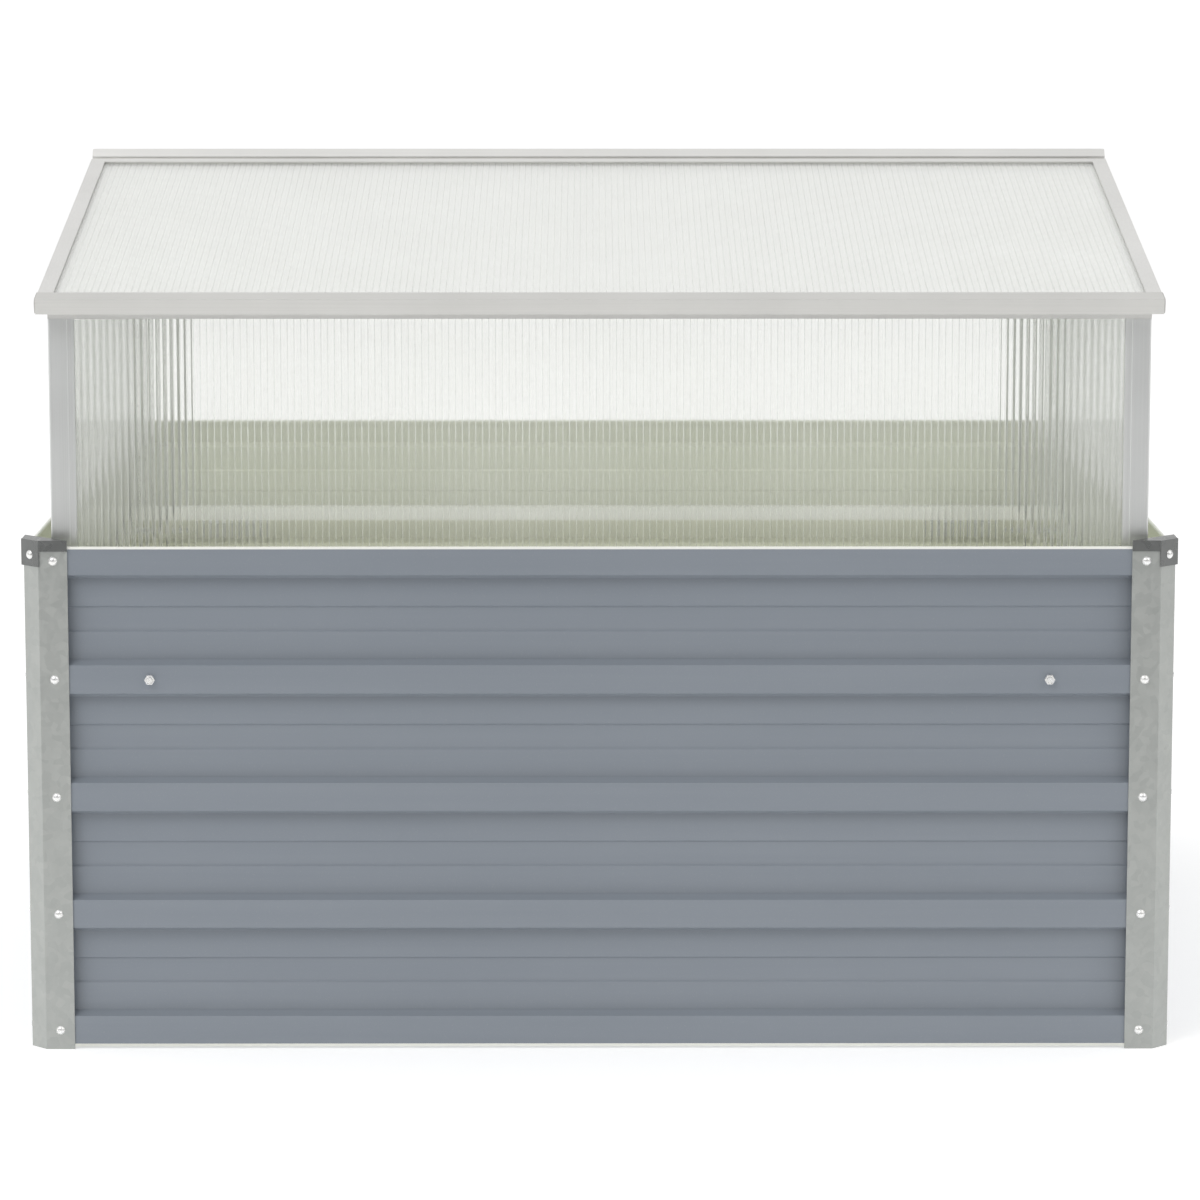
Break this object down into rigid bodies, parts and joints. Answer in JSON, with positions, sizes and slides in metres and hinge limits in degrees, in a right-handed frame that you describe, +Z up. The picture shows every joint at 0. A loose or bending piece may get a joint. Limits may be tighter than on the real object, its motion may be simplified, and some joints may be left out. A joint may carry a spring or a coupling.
{
  "type": "cold frame",
  "caption": "Square corrugated steel raised bed on chamfered corner posts, with an aluminium-framed, twin-wall glazed gable top whose hinged lids prop open on stays.",
  "frame": {"origin": "centre of the bed at the level its corner posts stand on", "axes": "+X across the front to the right, +Y towards the back, +Z up; the ridge runs along X"},
  "size_m": [1.0084, 1.01, 0.762],
  "materials": {
    "bed_paint": "satin grey-blue coil coating outside, pale backing coat inside",
    "galvanised_steel": "hot-dip galvanised with fine spangle",
    "dark_zinc": "dull dark zinc",
    "aluminium": "satin extruded",
    "polycarbonate": "clear twin-wall sheet",
    "zinc_fastener": "bright zinc plate",
    "cap_plastic": "moulded, colour-matched to the rail"
  },
  "bodies": {
    "bed": {"front_panel": "bed_paint", "front_support_brackets": "galvanised_steel", "front_sill_rail": "aluminium", "front_glazing": "polycarbonate", "right_panel": "bed_paint", "right_support_brackets": "galvanised_steel", "right_sill_rail": "aluminium", "right_glazing": "polycarbonate", "back_panel": "bed_paint", "back_support_brackets": "galvanised_steel", "back_sill_rail": "aluminium", "back_glazing": "polycarbonate", "left_panel": "bed_paint", "left_support_brackets": "galvanised_steel", "left_sill_rail": "aluminium", "left_glazing": "polycarbonate", "front_left_bed_post": "galvanised_steel", "front_left_corner_cap": "dark_zinc", "front_left_frame_post": "aluminium", "front_left_gable_rail": "aluminium", "front_right_bed_post": "galvanised_steel", "front_right_corner_cap": "dark_zinc", "front_right_frame_post": "aluminium", "front_right_gable_rail": "aluminium", "back_right_bed_post": "galvanised_steel", "back_right_corner_cap": "dark_zinc", "back_right_frame_post": "aluminium", "back_right_gable_rail": "aluminium", "back_left_bed_post": "galvanised_steel", "back_left_corner_cap": "dark_zinc", "back_left_frame_post": "aluminium", "back_left_gable_rail": "aluminium", "bed_bolts": "zinc_fastener", "bed_nuts": "zinc_fastener", "front_eave_rail": "aluminium", "back_eave_rail": "aluminium", "ridge_beam": "aluminium", "ridge_brackets": "galvanised_steel", "frame_screws": "zinc_fastener", "stay_pegs": "zinc_fastener"},
    "front_lid": {"front_lid_fascia_rail": "aluminium", "front_lid_hinge_rail": "aluminium", "front_lid_left_rail": "aluminium", "front_lid_right_rail": "aluminium", "front_lid_glazing": "polycarbonate", "front_lid_end_caps": "cap_plastic", "front_lid_screws": "zinc_fastener", "front_lid_stay_bracket": "aluminium", "front_lid_stay_rivet": "zinc_fastener"},
    "front_stay": {"front_lid_stay": "aluminium"},
    "back_lid": {"back_lid_fascia_rail": "aluminium", "back_lid_hinge_rail": "aluminium", "back_lid_left_rail": "aluminium", "back_lid_right_rail": "aluminium", "back_lid_glazing": "polycarbonate", "back_lid_end_caps": "cap_plastic", "back_lid_screws": "zinc_fastener", "back_lid_stay_bracket": "aluminium", "back_lid_stay_rivet": "zinc_fastener"},
    "back_stay": {"back_lid_stay": "aluminium"}
  },
  "joints": [
    {"name": "front_lid_hinge", "type": "hinge", "parent": "bed", "child": "front_lid", "pos_m": [0, -0.008, 0.75], "axis": [-1, 0, 0], "range_deg": [0, 50]},
    {"name": "back_lid_hinge", "type": "hinge", "parent": "bed", "child": "back_lid", "pos_m": [0, 0.008, 0.75], "axis": [1, 0, 0], "range_deg": [0, 50]},
    {"name": "front_stay_pivot", "type": "hinge", "parent": "front_lid", "child": "front_stay", "pos_m": [-0.453, -0.4382, 0.65721], "axis": [-1, 0, 0], "range_deg": [0, 66.26]},
    {"name": "back_stay_pivot", "type": "hinge", "parent": "back_lid", "child": "back_stay", "pos_m": [0.453, 0.4382, 0.65721], "axis": [1, 0, 0], "range_deg": [0, 66.26]}
  ]
}
